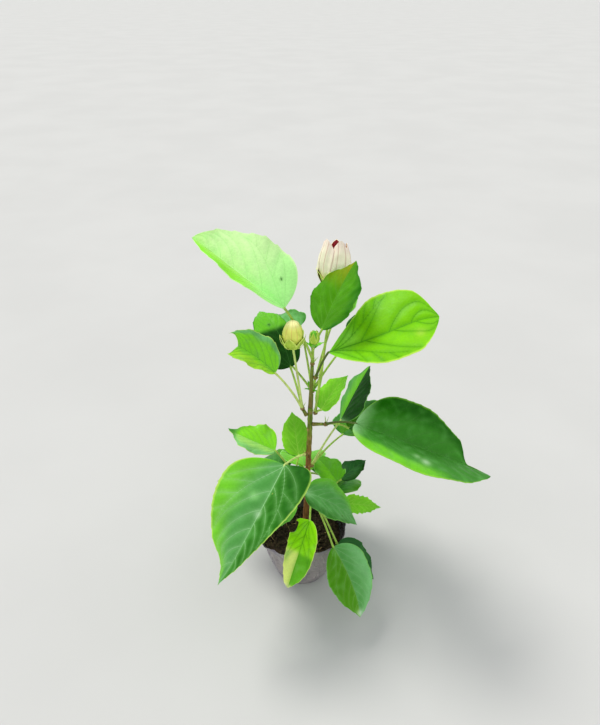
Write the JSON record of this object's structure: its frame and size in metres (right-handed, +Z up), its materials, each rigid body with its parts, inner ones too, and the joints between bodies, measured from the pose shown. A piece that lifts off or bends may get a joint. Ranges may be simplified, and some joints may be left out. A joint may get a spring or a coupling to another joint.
{
  "type": "potted hibiscus shrub",
  "caption": "Young hibiscus shrub with long-stalked toothed leaves, a bud and a half-open bloom, standing in a small plastic grow bag of soil.",
  "frame": {"origin": "centre of the grow bag's flat underside, on the surface it stands on", "axes": "+Z up along the stem; -Y is the side the picture shows; +X towards the long dark leaf on the right"},
  "size_m": [0.2838, 0.236, 0.4177],
  "materials": {
    "bag_plastic": "matte",
    "soil": "matte",
    "stem_bark": "matte",
    "green_shoot": "matte",
    "foliage": "satin"
  },
  "bodies": {
    "root": {"grow_bag": "bag_plastic", "potting_soil": "soil", "main_stem": "stem_bark", "leader_shoot": "green_shoot", "left_shoot": "green_shoot", "right_shoot": "green_shoot", "upper_back_shoot": "green_shoot", "front_shoot": "green_shoot", "low_left_shoot": "green_shoot", "low_right_shoot": "green_shoot", "low_back_shoot": "green_shoot", "crown_tip": "foliage", "crown_right": "foliage", "crown_left": "foliage", "crown_back": "foliage", "flower_shoot": "foliage", "right_spray": "foliage", "middle_right": "foliage", "front_left": "foliage", "low_front": "foliage", "low_left": "foliage", "low_right": "foliage", "low_back": "foliage"}
  },
  "joints": []
}
